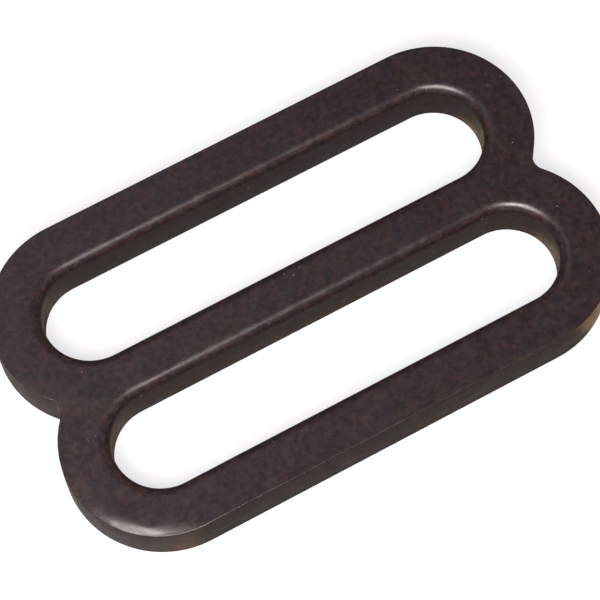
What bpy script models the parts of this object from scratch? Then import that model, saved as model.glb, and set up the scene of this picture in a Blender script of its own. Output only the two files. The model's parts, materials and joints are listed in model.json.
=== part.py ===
"""A strap slider in the figure-of-eight form: two long slots side by side, with one bar between them.

It is a single casting. The origin is on the face it rests on, below the middle of the centre bar.
+X runs along the bars, +Y across them and +Z up through the thickness.
"""

import math

import bpy
from mathutils import Vector

# Driving sizes, in metres.
SLOT_LENGTH = 0.0380  # the width of strap that the slider takes
SLOT_WIDTH = 0.0077  # the gap that the strap is threaded through
RIM_WIDTH = 0.0040  # the outer bars and the round ends
CENTRE_BAR_WIDTH = 0.0040  # the bar that both slots share
THICKNESS = 0.0042
EDGE_RADIUS = 0.00065  # the rounding along every edge
NOTCH_RADIUS = 0.0011  # the fillet where the two rings meet at each end

ARC_STEP = math.radians(7.5)  # the turn between two points of a round stretch
EDGE_FACETS = 4  # flat strips across a rounded edge
WELD_DISTANCE = 0.00001

# What follows from them.
SLOT_RADIUS = SLOT_WIDTH / 2
RING_RADIUS = SLOT_RADIUS + RIM_WIDTH
ARC_CENTRE_X = SLOT_LENGTH / 2 - SLOT_RADIUS
RING_CENTRE_Y = (SLOT_WIDTH + CENTRE_BAR_WIDTH) / 2


def clear_scene():
    for obj in list(bpy.data.objects):
        bpy.data.objects.remove(obj, do_unlink=True)


def arc(centre, radius, start, end):
    """Points along a round stretch, both ends included; it turns clockwise where end is below start."""
    steps = max(2, round(abs(end - start) / ARC_STEP))
    points = []
    for step in range(steps + 1):
        angle = start + (end - start) * step / steps
        points.append(Vector((centre[0] + radius * math.cos(angle), centre[1] + radius * math.sin(angle))))
    return points


def slot_outline(centre_y):
    """A slot with half-round ends."""
    right = arc((ARC_CENTRE_X, centre_y), SLOT_RADIUS, -math.pi / 2, math.pi / 2)
    left = arc((-ARC_CENTRE_X, centre_y), SLOT_RADIUS, math.pi / 2, 3 * math.pi / 2)
    return right + left


def half_turned(points):
    """The points turned half a turn about the origin."""
    return [-point for point in points]


def outer_outline():
    """The two rings as one outline, with a fillet in the notch between them at each end."""
    reach = RING_RADIUS + NOTCH_RADIUS
    lean = math.asin(RING_CENTRE_Y / reach)
    notch_x = ARC_CENTRE_X + reach * math.cos(lean)
    right_centre = (ARC_CENTRE_X, RING_CENTRE_Y)
    left_centre = (-ARC_CENTRE_X, RING_CENTRE_Y)
    right = arc(right_centre, RING_RADIUS, -lean, 0)[:-1] + arc(right_centre, RING_RADIUS, 0, math.pi / 2)
    left = arc(left_centre, RING_RADIUS, math.pi / 2, math.pi)
    left += arc(left_centre, RING_RADIUS, math.pi, math.pi + lean)[1:]
    notch = arc((-notch_x, 0), NOTCH_RADIUS, lean, -lean)
    upper = right + left + notch[1:-1]
    return upper + half_turned(upper)


def add_outline(curve, points):
    spline = curve.splines.new("POLY")
    spline.points.add(len(points) - 1)
    for point, place in zip(spline.points, points):
        point.co = (place.x, place.y, 0, 1)
    spline.use_cyclic_u = True


def rounded_plate(name, rim, holes):
    """A plate of the full thickness that stands on z = 0, with every edge rounded.

    The curve's bevel swells each outline towards its left side, by the edge radius, and the offset
    takes that back first. So the rim runs clockwise and the holes run anticlockwise.
    """
    curve = bpy.data.curves.new(name, "CURVE")
    curve.dimensions = "2D"
    curve.fill_mode = "BOTH"
    curve.extrude = THICKNESS / 2 - EDGE_RADIUS
    curve.bevel_depth = EDGE_RADIUS
    curve.bevel_resolution = EDGE_FACETS - 1
    curve.offset = -EDGE_RADIUS
    add_outline(curve, rim[::-1])
    for hole in holes:
        add_outline(curve, hole)
    plate = bpy.data.objects.new(name, curve)
    plate.location.z = THICKNESS / 2
    weld = plate.modifiers.new("Join faces to walls", "WELD")
    weld.merge_threshold = WELD_DISTANCE
    return plate


def dark_brown_lacquer():
    """A satin lacquer over the zinc casting."""
    material = bpy.data.materials.new("dark_brown_lacquer")
    material.use_nodes = True
    shader = material.node_tree.nodes["Principled BSDF"]
    shader.inputs["Base Color"].default_value = (0.040, 0.029, 0.028, 1)
    shader.inputs["Metallic"].default_value = 0.0
    shader.inputs["Roughness"].default_value = 0.38
    return material


def make_slider_frame(parts):
    slots = [slot_outline(RING_CENTRE_Y), slot_outline(-RING_CENTRE_Y)]
    frame = rounded_plate("slider_frame", outer_outline(), slots)
    frame.data.materials.append(dark_brown_lacquer())
    parts.objects.link(frame)


def main():
    clear_scene()
    parts = bpy.data.collections.new("strap_slider")
    bpy.context.scene.collection.children.link(parts)
    make_slider_frame(parts)


main()
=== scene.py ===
"""A figure-of-eight strap slider, cast in zinc and lacquered dark brown, on a pale table.

Laid out as a Blender add-on, and run as a script. Each operator models one piece or sets the stage.
"""

import json
import math

import bpy
from mathutils import Matrix, Vector


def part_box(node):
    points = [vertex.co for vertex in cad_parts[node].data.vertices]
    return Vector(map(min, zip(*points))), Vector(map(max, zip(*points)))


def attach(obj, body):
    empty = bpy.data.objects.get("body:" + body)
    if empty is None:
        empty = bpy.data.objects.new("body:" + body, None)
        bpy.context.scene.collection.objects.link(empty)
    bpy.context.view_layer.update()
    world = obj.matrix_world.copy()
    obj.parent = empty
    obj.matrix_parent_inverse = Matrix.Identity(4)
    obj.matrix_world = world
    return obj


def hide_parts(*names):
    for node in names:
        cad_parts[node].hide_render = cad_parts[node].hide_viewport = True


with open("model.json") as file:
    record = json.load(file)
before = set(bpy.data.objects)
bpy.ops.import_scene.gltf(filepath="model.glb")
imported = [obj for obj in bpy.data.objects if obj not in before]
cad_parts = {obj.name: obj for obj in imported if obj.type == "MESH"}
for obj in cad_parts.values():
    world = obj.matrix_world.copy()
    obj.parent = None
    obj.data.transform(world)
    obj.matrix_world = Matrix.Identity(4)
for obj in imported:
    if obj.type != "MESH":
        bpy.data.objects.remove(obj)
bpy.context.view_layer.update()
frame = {"record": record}

bl_info = {
    "name": "Strap Slider",
    "version": (1, 0, 0),
    "blender": (4, 5, 0),
    "location": "3D View > Sidebar > Strap Slider",
    "description": "Models a cast and lacquered strap slider and the table it lies on",
    "category": "Object",
}

MM = 0.001

# The frame's own sizes: its box, and the two flat faces that bound the back slot.
LOW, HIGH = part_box("slider_frame")
FACE_Y = {mount["name"]: mount["pos_m"][1] for mount in frame["record"]["mounts"]}
CENTRE_BAR = 2 * FACE_Y["centre_bar_back_side"]
RIM = HIGH.y - FACE_Y["back_bar_slot_side"]
SLOT_WIDTH = FACE_Y["back_bar_slot_side"] - FACE_Y["centre_bar_back_side"]
SLOT_LENGTH = HIGH.x - LOW.x - 2 * RIM
THICKNESS = HIGH.z - LOW.z


def linear(code):
    """The linear colour of an sRGB code such as "#3a302f"."""
    shares = [int(code[at : at + 2], 16) / 255 for at in (1, 3, 5)]
    return [share / 12.92 if share <= 0.04045 else ((share + 0.055) / 1.055) ** 2.4 for share in shares]


def length(name, default, description):
    """A length property in metres, shown in the scene's own unit."""
    return bpy.props.FloatProperty(
        name=name, description=description, default=default, min=0, precision=5, unit="LENGTH"
    )


def colour(name, code, description):
    return bpy.props.FloatVectorProperty(
        name=name, description=description, default=linear(code), min=0, max=1, subtype="COLOR"
    )


class SliderSizes(bpy.types.PropertyGroup):
    """The sizes of the casting."""

    slot_length: length("Slot length", SLOT_LENGTH, "Width of the strap that the slots take")
    slot_width: length("Slot width", SLOT_WIDTH, "Gap that the strap is threaded through")
    rim: length("Rim", RIM, "Width of the outer bars and the round ends")
    centre_bar: length("Centre bar", CENTRE_BAR, "Width of the bar between the slots")
    thickness: length("Thickness", THICKNESS, "Height of the slider lying flat")
    notch_radius: length("Notch radius", 1.1 * MM, "Fillet where the two rings meet")
    slot_shoulder: length("Slot shoulder", 0.9 * MM, "Radius of the round edge at the slots")
    rim_shoulder: length("Rim shoulder", 0.1 * MM, "Radius of the outer edge")
    back_flatness: bpy.props.FloatProperty(
        name="Back flatness",
        description="Height of the underside's shoulders as a share of the top's",
        default=0.25,
        min=0.1,
        max=1,
    )
    front_dressing: length("Front dressing", 0.3 * MM, "How much is dressed off the front left lobe")
    back_dressing: length("Back dressing", 0.1 * MM, "How much is dressed off the back left lobe")
    draft: length("Draft", 0.03 * MM, "How far the walls lean in, so that the casting leaves its mould")


class LacquerColours(bpy.types.PropertyGroup):
    """The colours of the finish."""

    coat: colour("Coat", "#271c1c", "The lacquer where it is even")
    warm: colour("Warm", "#2a1d1b", "Where the lacquer lies thin and shows redder")
    cool: colour("Cool", "#231d1f", "Where it has pooled and looks greyer")
    rubbed: colour("Rubbed", "#45332b", "Where handling has rubbed the edges")
    bare: colour("Bare", "#7d746e", "Zinc that shows in a nick")


def sizes():
    return bpy.context.scene.slider_sizes


def colours():
    return bpy.context.scene.lacquer_colours


# ---- modelling helpers


def deselect_all():
    if bpy.context.mode != "OBJECT":
        bpy.ops.object.mode_set(mode="OBJECT")
    bpy.ops.object.select_all(action="DESELECT")


def pick(obj, kind, test):
    """In edit mode, selects just the vertices, edges or faces of obj that pass the test."""
    bpy.ops.mesh.select_mode(type={"vertices": "VERT", "edges": "EDGE", "polygons": "FACE"}[kind])
    bpy.ops.mesh.select_all(action="DESELECT")
    bpy.ops.object.mode_set(mode="OBJECT")
    for element in getattr(obj.data, kind):
        element.select = test(element)
    bpy.ops.object.mode_set(mode="EDIT")


def corners(obj, element):
    """The places of an edge's or a face's corners."""
    return [obj.data.vertices[index].co for index in element.vertices]


def near(value, target, slack=0.01 * MM):
    return abs(value - target) < slack


def wall_tops(obj):
    """The edges where a level face meets an upright one."""
    bpy.ops.object.mode_set(mode="OBJECT")
    levels = {}
    for face in obj.data.polygons:
        for key in face.edge_keys:
            levels.setdefault(key, set()).add(abs(face.normal.z) > 0.5)
    bpy.ops.object.mode_set(mode="EDIT")
    return {key for key, level in levels.items() if len(level) == 2}


def apply_modifier(obj, kind, **settings):
    modifier = obj.modifiers.new(kind.title(), kind)
    for name, value in settings.items():
        setattr(modifier, name, value)
    bpy.ops.object.modifier_apply(modifier=modifier.name)


# ---- the casting


ARC_STEP = math.radians(3)
STRAIGHT_STEP = 0.8 * MM
FILLET_STEPS = 6  # in the notch, from the ring to the X axis
RIM_STEPS = 6  # across the outer edge's shoulder
SLOT_STEPS = 14  # across a slot's shoulder
TOP_CUTS = 16  # across the flat of the top face
DRESSED_WAY = Vector((-0.68, -0.73))  # from a lobe's centre to the middle of its dressed edge
DRESSED_SPREAD = math.radians(46)  # how far round the lobe the last stroke takes, to either side
DRESSING_STROKES = 10
FIRST_BLEND = 0.5 * MM  # how far in from the edge the first stroke reaches
LAST_BLEND = 1.5 * MM
JOIN = 0.002 * MM  # closer points than this are one


def turn_x(size):
    """Where along X the straight bars end and the rings turn."""
    return (size.slot_length - size.slot_width) / 2


def ring_y(size):
    """How far the middle line of a slot is from the X axis."""
    return (size.slot_width + size.centre_bar) / 2


def ring_centre(size):
    return Vector((turn_x(size), ring_y(size), 0))


def notch(size):
    """The centre of the fillet in the notch, and how far below +X it is, seen from the ring's centre."""
    reach = size.slot_width / 2 + size.rim + size.notch_radius
    lean = math.asin(ring_y(size) / reach)
    return Vector((turn_x(size) + reach * math.cos(lean), 0, 0)), lean


def pick_point(obj, place):
    pick(obj, "vertices", lambda vertex: near((vertex.co - place).length, 0))


def half_back_bar(size):
    """The back bar, from its middle to where the ring starts to turn."""
    bar_y = ring_y(size) + (size.slot_width + size.rim) / 2
    bpy.ops.mesh.primitive_plane_add(size=1, location=(turn_x(size) / 2, bar_y, 0))
    obj = bpy.context.object
    obj.scale = (turn_x(size), size.rim, 1)
    bpy.ops.object.transform_apply(location=True, rotation=True, scale=True)
    bpy.ops.object.mode_set(mode="EDIT")
    return obj


def turn_ring(obj, size):
    """The ring, to its widest place and then as far as the fillet in the notch."""
    lean = notch(size)[1]
    pick(obj, "edges", lambda edge: all(near(co.x, turn_x(size)) for co in corners(obj, edge)))
    for turn in (math.pi / 2, lean):
        steps = round(turn / ARC_STEP)
        bpy.ops.mesh.spin(steps=steps, angle=turn, center=ring_centre(size), axis=(0, 0, 1))


def close_ring(obj, size):
    """The rest of the ring, which meets the other ring on the X axis.

    The inner side follows the slot's end. The outer side follows the fillet to the X axis, and
    then the axis itself, back to where the ring starts to turn.
    """
    centre = ring_centre(size)
    fillet_centre, lean = notch(size)
    slot_radius = size.slot_width / 2
    turned = Vector((math.cos(lean), -math.sin(lean), 0))
    slot_end = centre + turned * slot_radius
    pick_point(obj, centre + turned * (slot_radius + size.rim))
    bpy.ops.mesh.spin(steps=FILLET_STEPS, angle=lean, center=fillet_centre, axis=(0, 0, -1))

    steps = round((math.pi / 2 - lean) / ARC_STEP)
    axis_steps = steps - FILLET_STEPS
    fillet_end = fillet_centre - Vector((size.notch_radius, 0, 0))
    pick_point(obj, fillet_end)
    for _ in range(axis_steps):
        bpy.ops.mesh.extrude_vertices_move()
        bpy.ops.transform.translate(value=((turn_x(size) - fillet_end.x) / axis_steps, 0, 0))
    pick_point(obj, slot_end)
    bpy.ops.mesh.spin(steps=steps, angle=math.pi / 2 - lean, center=centre, axis=(0, 0, 1))

    def on_outer_side(co):
        return near((co - fillet_centre).length, size.notch_radius) or near(co.y, 0)

    def on_slot_end(co):
        return near((co - centre).length, slot_radius) and co.y < slot_end.y + JOIN

    pick(
        obj,
        "edges",
        lambda edge: all(map(on_outer_side, corners(obj, edge)))
        or all(map(on_slot_end, corners(obj, edge))),
    )
    bpy.ops.mesh.bridge_edge_loops()


def half_centre_bar(obj, size):
    """The centre bar's back half, from the end of the ring to the bar's middle."""

    def at_turn(co):
        return near(co.x, turn_x(size)) and co.y < size.centre_bar / 2 + JOIN

    pick(obj, "edges", lambda edge: all(map(at_turn, corners(obj, edge))))
    bpy.ops.mesh.extrude_edges_move()
    bpy.ops.transform.resize(value=(0, 1, 1), center_override=(0, 0, 0))


def flat_quarter(size):
    """One quarter of the slider's plan, as a strip of faces at z = 0."""
    obj = half_back_bar(size)
    turn_ring(obj, size)
    close_ring(obj, size)
    half_centre_bar(obj, size)
    bpy.ops.mesh.select_all(action="SELECT")
    bpy.ops.mesh.remove_doubles(threshold=JOIN)
    return obj


def cut_straights(obj, size):
    """Divides the straight bars along their length, so that their faces are about as long as wide."""
    count = round(turn_x(size) / STRAIGHT_STEP)
    for cut in range(1, count):
        bpy.ops.mesh.select_all(action="SELECT")
        bpy.ops.mesh.bisect(plane_co=(turn_x(size) * cut / count, 0, 0), plane_no=(1, 0, 0))


def off_slot(size, co):
    """How far a place is from the middle line of the slot next to it."""
    past_turn = max(abs(co.x) - turn_x(size), 0)
    return math.hypot(past_turn, abs(co.y) - ring_y(size))


def raise_half(obj, size):
    """Turns the flat plan into the upper half of the casting, from its middle plane up."""
    bpy.ops.mesh.select_mode(type="FACE")
    bpy.ops.mesh.select_all(action="SELECT")
    bpy.ops.mesh.normals_make_consistent(inside=False)
    bpy.ops.mesh.inset(thickness=size.draft, depth=0, use_boundary=True, use_even_offset=True)
    bpy.ops.transform.translate(value=(0, 0, size.thickness / 2))
    bpy.ops.mesh.select_all(action="SELECT")
    bpy.ops.mesh.normals_make_consistent(inside=False)

    def around_slot(co):
        return off_slot(size, co) < size.slot_width / 2 + size.rim / 4

    for width, steps, at_slot in (
        (size.rim_shoulder, RIM_STEPS, False),
        (size.slot_shoulder, SLOT_STEPS, True),
    ):
        tops = wall_tops(obj)
        pick(
            obj,
            "edges",
            lambda edge: edge.key in tops
            and all(around_slot(co) == at_slot for co in corners(obj, edge)),
        )
        bpy.ops.mesh.bevel(offset=width, segments=steps, affect="EDGES")


def flatten_back(obj, size):
    """Lowers the shoulders of the underside, which comes flat out of its half of the mould."""
    back = -size.thickness / 2
    shoulder_top = back + size.slot_shoulder + JOIN
    pick(obj, "vertices", lambda vertex: vertex.co.z < shoulder_top)
    bpy.ops.transform.resize(value=(1, 1, size.back_flatness), center_override=(0, 0, back))


def divide_top(obj, size):
    """Divides the flat of the top face into narrow strips, so that an edge can be dressed smoothly."""
    # The flat's side along the slot is nearer to the slot than this, and its other side farther.
    slot_line = size.slot_width / 2 + size.slot_shoulder + size.rim / 16

    def crosses(edge):
        ends = corners(obj, edge)
        at_slot = [off_slot(size, co) < slot_line for co in ends]
        on_top = all(near(co.z, size.thickness / 2, JOIN) for co in ends)
        return on_top and at_slot[0] != at_slot[1]

    pick(obj, "edges", crosses)
    bpy.ops.mesh.subdivide(number_cuts=TOP_CUTS)


def dress_edge(obj, size, lobe_side, fall):
    """Dresses down the top edge of a left lobe, as when the stub of the sprue is ground off.

    lobe_side is 1 for the back lobe and -1 for the front one. Each stroke takes down a longer
    stretch and reaches further in, so that the dressing is steep at its middle and fades out.
    """
    centre = Vector((-turn_x(size), lobe_side * ring_y(size)))
    edge_radius = size.slot_width / 2 + size.rim - size.rim_shoulder - size.draft - JOIN

    def off_middle(co):
        out = co.xy - centre
        on_edge = co.z > size.thickness / 4 and out.length > edge_radius
        return out.angle(DRESSED_WAY) if on_edge else math.pi

    for stroke in range(1, DRESSING_STROKES + 1):
        share = stroke / DRESSING_STROKES
        pick(obj, "vertices", lambda vertex: off_middle(vertex.co) < DRESSED_SPREAD * share)
        bpy.ops.transform.translate(
            value=(0, 0, -fall / DRESSING_STROKES),
            use_proportional_edit=True,
            proportional_edit_falloff="SHARP",
            proportional_size=FIRST_BLEND + (LAST_BLEND - FIRST_BLEND) * share,
        )


def cast_body(size):
    deselect_all()
    obj = flat_quarter(size)
    cut_straights(obj, size)
    bpy.ops.object.mode_set(mode="OBJECT")
    obj.name = "slider_body"
    obj.data.name = "slider_body"
    apply_modifier(obj, "MIRROR", use_axis=(True, True, False), merge_threshold=JOIN)
    bpy.ops.object.mode_set(mode="EDIT")
    raise_half(obj, size)
    bpy.ops.object.mode_set(mode="OBJECT")
    apply_modifier(obj, "MIRROR", use_axis=(False, False, True), merge_threshold=JOIN)
    bpy.ops.object.mode_set(mode="EDIT")
    bpy.ops.mesh.select_all(action="SELECT")
    bpy.ops.mesh.normals_make_consistent(inside=False)
    flatten_back(obj, size)
    divide_top(obj, size)
    dress_edge(obj, size, -1, size.front_dressing)
    dress_edge(obj, size, 1, size.back_dressing)
    bpy.ops.mesh.select_all(action="SELECT")
    bpy.ops.transform.translate(value=(0, 0, size.thickness / 2))
    bpy.ops.object.mode_set(mode="OBJECT")
    bpy.ops.object.shade_smooth()
    return obj


# ---- the finish


# How far across the patches of each kind are, and the values of the noise where they start and
# where they are full.
THIN_PATCHES = (1.8 * MM, 0.42, 0.62)
POOLED_PATCHES = (1.0 * MM, 0.46, 0.66)
RUBBED_PATCHES = (1.6 * MM, 0.45, 0.62)
NICKS = (0.35 * MM, 0.7, 0.74)
CLOUDS = (0.4 * MM, 0.35, 0.65)
GLOSS_PATCHES = (1.2 * MM, 0.35, 0.65)

CLOUD_SHADES = (0.68, 1.32)  # what the darkest and the palest clouds multiply the colour by
GLOSS_RANGE = (0.27, 0.38)  # roughness, where the film is glossiest and where it is dullest
RUBBED_SHARE = 0.25
RUBBED_DEPTH = 0.25 * MM  # how far below the face the edges are rubbed most

# The spacing and the height of the relief.
WAVES = (2.2 * MM, 0.03 * MM)
ORANGE_PEEL = (0.22 * MM, 0.002 * MM)

COLOUR_MIX = {"data_type": "RGBA"}
SMOOTH_STEP = {"interpolation_type": "SMOOTHSTEP"}


def add(tree, kind, settings=None, inputs=None, output=0):
    """Adds a node with its settings and inputs, and gives back one of its outputs.

    An input is a value, or another node's output to link from.
    """
    node = tree.nodes.new(kind)
    for name, value in (settings or {}).items():
        setattr(node, name, value)
    for name, value in (inputs or {}).items():
        if isinstance(value, bpy.types.NodeSocket):
            tree.links.new(value, node.inputs[name])
        else:
            node.inputs[name].default_value = value
    return node.outputs[output] if node.outputs else None


def new_material(name):
    material = bpy.data.materials.new(name)
    material.use_nodes = True
    material.node_tree.nodes.clear()
    return material, material.node_tree


def patches(tree, place, spread, between=0.0, inside=1.0):
    """Soft-edged patches: the value between where there is none, and the value inside in one."""
    across, low, high = spread
    cloud = {"Vector": place, "Scale": 1 / across, "Detail": 4, "Roughness": 0.6}
    value = add(tree, "ShaderNodeTexNoise", inputs=cloud, output="Fac")
    ends = {"Value": value, "From Min": low, "From Max": high, "To Min": between, "To Max": inside}
    return add(tree, "ShaderNodeMapRange", SMOOTH_STEP, ends)


def rubbed_edges(tree, place, size):
    """Where handling has rubbed the film: a band just under either face, broken up by patches."""
    middle = size.thickness / 2
    height = add(tree, "ShaderNodeSeparateXYZ", inputs={0: place}, output="Z")
    off_middle = add(tree, "ShaderNodeMath", {"operation": "SUBTRACT"}, {0: height, 1: middle})
    off_middle = add(tree, "ShaderNodeMath", {"operation": "ABSOLUTE"}, {0: off_middle})
    depth = add(tree, "ShaderNodeMath", {"operation": "SUBTRACT"}, {0: middle, 1: off_middle})
    share = patches(tree, place, RUBBED_PATCHES, inside=RUBBED_SHARE)
    for none, full in ((RUBBED_DEPTH / 5, RUBBED_DEPTH / 2), (2 * RUBBED_DEPTH, RUBBED_DEPTH)):
        band = {"Value": depth, "From Min": none, "From Max": full}
        band = add(tree, "ShaderNodeMapRange", SMOOTH_STEP, band)
        share = add(tree, "ShaderNodeMath", {"operation": "MULTIPLY"}, {0: share, 1: band})
    return share


def tumbled_relief(tree, place):
    """Tumbling leaves slow waves in the metal, and the film over them has a fine orange peel."""
    relief = {}
    for spacing, drop in (WAVES, ORANGE_PEEL):
        swell = {"Vector": place, "Scale": 1 / spacing}
        relief["Height"] = add(tree, "ShaderNodeTexNoise", inputs=swell, output="Fac")
        relief["Distance"] = drop
        relief["Normal"] = add(tree, "ShaderNodeBump", inputs=relief)
    return relief["Normal"]


def brown_lacquer_on_zinc(tint, size):
    """Satin brown lacquer, dipped over a tumbled zinc casting.

    To the eye it is near black, redder where the film is thin and greyer where it has pooled, with
    a soft wavering gloss from the tumbled metal under it, edges rubbed brown and a few pale nicks.
    """
    material, tree = new_material("dipped_brown_lacquer")
    place = add(tree, "ShaderNodeTexCoord", output="Object")
    finish = (*tint.coat, 1)
    for share, colour_there in (
        (patches(tree, place, THIN_PATCHES), tint.warm),
        (patches(tree, place, POOLED_PATCHES), tint.cool),
        (rubbed_edges(tree, place, size), tint.rubbed),
        (patches(tree, place, NICKS), tint.bare),
    ):
        mix = {"Factor": share, "A": finish, "B": (*colour_there, 1)}
        finish = add(tree, "ShaderNodeMix", COLOUR_MIX, mix, "Result")

    # A fine cloudiness over it all, as the film dries unevenly.
    mix = {"Factor": 1.0, "A": finish, "B": patches(tree, place, CLOUDS, *CLOUD_SHADES)}
    finish = add(tree, "ShaderNodeMix", {**COLOUR_MIX, "blend_type": "MULTIPLY"}, mix, "Result")

    surface = {
        "Base Color": finish,
        "Roughness": patches(tree, place, GLOSS_PATCHES, *GLOSS_RANGE),
        "Normal": tumbled_relief(tree, place),
    }
    shader = add(tree, "ShaderNodeBsdfPrincipled", inputs=surface)
    add(tree, "ShaderNodeOutputMaterial", inputs={"Surface": shader})
    return material


def model_body():
    obj = cast_body(sizes())
    obj.data.materials.append(brown_lacquer_on_zinc(colours(), sizes()))
    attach(obj, "root")
    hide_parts("slider_frame")
    return obj


# ---- the stage


VIEW_AZIMUTH = math.radians(-24.85)
VIEW_ELEVATION = math.radians(67.98)
VIEW_ROLL = math.radians(-4)
VIEW_DISTANCE = 211.3 * MM
VIEW_LENS = 163.7  # in millimetres, on the usual 36 mm wide sensor
VIEW_TARGET = Vector((-0.38 * MM, -0.48 * MM, THICKNESS / 2))

WORLD_COLOUR = "#e8eefa"
WORLD_STRENGTH = 0.13

# Each light's name, azimuth and elevation in degrees, distance and size in metres, watts and
# colour. The softbox lights everything, and makes the bright ridges along the slots and on the
# dressed edge. The reflector adds a cool sheen to the left lobes, the card a faint glint to the
# right ends of the slots, and the window a red one to their left ends.
LIGHTS = (
    ("key_softbox", -38, 58, 0.24, (0.16, 0.09), 1.05, "#fff6f2"),
    ("left_reflector", -160, 60, 0.5, (0.3, 0.3), 0.16, "#f2f0ff"),
    ("front_card", -35, 10, 0.5, (0.5, 0.15), 0.22, "#fff4ee"),
    ("warm_window", 120, 22, 0.5, (0.4, 0.2), 0.1, "#ff9a6a"),
)

SHEET_WIDTH = 3  # in metres, so that its edges are out of every view
CARD_GLOW = 0.72  # how much of the white card's light comes from within
CARD_TO_TABLE = 0.01 * MM

# The table's colour at the left, and where along X it then changes to which colour.
# Beyond the table's own tan, these colours are painted light and shade: paler at the ends, where
# the lamps would light the table, and darker in the middle, as the slider's painted shadow on it.
TABLE_LEFT_PAINTED_LIGHT = "#7d7a78"
TABLE_PAINTED_LIGHT_AND_SHADE = (
    (-19.5 * MM, -18 * MM, "#8e8076"),
    (-17 * MM, -15 * MM, "#64625e"),
    (17.8 * MM, 19.2 * MM, "#b9a283"),
)


def direction(azimuth, elevation):
    """The way to a point round the object: azimuth 0 is in front, at -Y."""
    level = math.cos(elevation)
    return Vector((math.sin(azimuth) * level, -math.cos(azimuth) * level, math.sin(elevation)))


def add_camera():
    data = bpy.data.cameras.new("camera")
    data.lens = VIEW_LENS
    data.clip_start = 10 * MM
    camera = bpy.data.objects.new("camera", data)
    back = direction(VIEW_AZIMUTH, VIEW_ELEVATION)
    right = Vector((math.cos(VIEW_AZIMUTH), math.sin(VIEW_AZIMUTH), 0))
    turned = Matrix((right, back.cross(right), back)).transposed() @ Matrix.Rotation(VIEW_ROLL, 3, "Z")
    camera.matrix_world = Matrix.Translation(VIEW_TARGET + back * VIEW_DISTANCE) @ turned.to_4x4()
    bpy.context.scene.collection.objects.link(camera)
    bpy.context.scene.camera = camera


def add_area_light(name, azimuth, elevation, distance, size, watts, tint):
    data = bpy.data.lights.new(name, "AREA")
    data.shape = "RECTANGLE"
    data.size, data.size_y = size
    data.energy = watts
    data.color = linear(tint)
    light = bpy.data.objects.new(name, data)
    way = direction(math.radians(azimuth), math.radians(elevation))
    light.location = way * distance
    light.rotation_mode = "QUATERNION"
    light.rotation_quaternion = way.to_track_quat("Z", "Y")
    bpy.context.scene.collection.objects.link(light)


def add_sheet(name, height):
    """A large level sheet, with a material of the same name that has no shader yet."""
    deselect_all()
    bpy.ops.mesh.primitive_plane_add(size=SHEET_WIDTH, location=(0, 0, height))
    sheet = bpy.context.object
    sheet.name = name
    material, tree = new_material(name)
    sheet.data.materials.append(material)
    return sheet, tree


def add_white_card():
    """The card that the camera sees. It is partly lit from within, which thins out the shadows."""
    card, tree = add_sheet("white_card", 0)
    white = (*linear("#fefefe"), 1)
    matt = add(tree, "ShaderNodeBsdfDiffuse", inputs={"Color": white})
    lit = add(tree, "ShaderNodeEmission", inputs={"Color": white})
    mixed = add(tree, "ShaderNodeMixShader", inputs={0: CARD_GLOW, 1: matt, 2: lit})
    add(tree, "ShaderNodeOutputMaterial", inputs={"Surface": mixed})
    card.visible_diffuse = False
    card.visible_glossy = False
    card.visible_shadow = False


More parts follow.
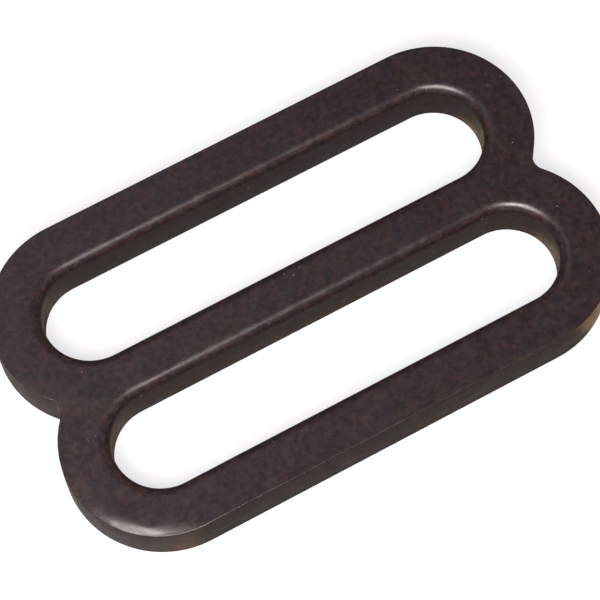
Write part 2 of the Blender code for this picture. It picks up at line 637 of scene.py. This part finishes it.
def add_tan_table():
    """What the walls of the slider mirror from below: grey and tan at the ends as painted light, darker
    in the middle as the slider's painted shadow.
    """
    table, tree = add_sheet("tan_table_painted_light", -CARD_TO_TABLE)
    place = add(tree, "ShaderNodeTexCoord", output="Object")
    along = add(tree, "ShaderNodeSeparateXYZ", inputs={0: place}, output="X")
    tint = (*linear(TABLE_LEFT_PAINTED_LIGHT), 1)
    # Each change paints light or shade onto the table: paler where lamps would reach it, darker under
    # the slider.
    for start, end, code in TABLE_PAINTED_LIGHT_AND_SHADE:
        span = {"Value": along, "From Min": start, "From Max": end}
        share = add(tree, "ShaderNodeMapRange", SMOOTH_STEP, span)
        mix = {"Factor": share, "A": tint, "B": (*linear(code), 1)}
        tint = add(tree, "ShaderNodeMix", COLOUR_MIX, mix, "Result")
    matt = add(tree, "ShaderNodeBsdfDiffuse", inputs={"Color": tint})
    add(tree, "ShaderNodeOutputMaterial", inputs={"Surface": matt})
    table.visible_camera = False


def set_stage():
    scene = bpy.context.scene
    scene.view_settings.view_transform = "Standard"
    world = bpy.data.worlds.new("studio")
    world.use_nodes = True
    background = world.node_tree.nodes["Background"]
    background.inputs["Color"].default_value = (*linear(WORLD_COLOUR), 1)
    background.inputs["Strength"].default_value = WORLD_STRENGTH
    scene.world = world
    for light in LIGHTS:
        add_area_light(*light)
    add_white_card()
    add_tan_table()
    add_camera()


# ---- operators and panel


class SLIDER_OT_body(bpy.types.Operator):
    """Model the casting and give it its lacquer"""

    bl_idname = "slider.body"
    bl_label = "Slider Body"

    def execute(self, context):
        model_body()
        return {"FINISHED"}


class SLIDER_OT_stage(bpy.types.Operator):
    """Set the table, the light and the camera"""

    bl_idname = "slider.stage"
    bl_label = "Stage"

    def execute(self, context):
        set_stage()
        return {"FINISHED"}


class SLIDER_PT_panel(bpy.types.Panel):
    """Strap slider tools"""

    bl_label = "Strap Slider"
    bl_idname = "SLIDER_PT_panel"
    bl_space_type = "VIEW_3D"
    bl_region_type = "UI"
    bl_category = "Strap Slider"

    def draw(self, context):
        column = self.layout.column()
        for operator in OPERATORS:
            column.operator(operator.bl_idname)
        for group in (context.scene.slider_sizes, context.scene.lacquer_colours):
            for name in group.__annotations__:
                column.prop(group, name)


OPERATORS = (SLIDER_OT_body, SLIDER_OT_stage)
CLASSES = (SliderSizes, LacquerColours, *OPERATORS, SLIDER_PT_panel)


def register():
    for cls in CLASSES:
        bpy.utils.register_class(cls)
    bpy.types.Scene.slider_sizes = bpy.props.PointerProperty(type=SliderSizes)
    bpy.types.Scene.lacquer_colours = bpy.props.PointerProperty(type=LacquerColours)


def unregister():
    del bpy.types.Scene.lacquer_colours
    del bpy.types.Scene.slider_sizes
    for cls in reversed(CLASSES):
        bpy.utils.unregister_class(cls)


def main():
    register()
    bpy.ops.slider.body()
    bpy.ops.slider.stage()


if __name__ == "__main__":
    main()
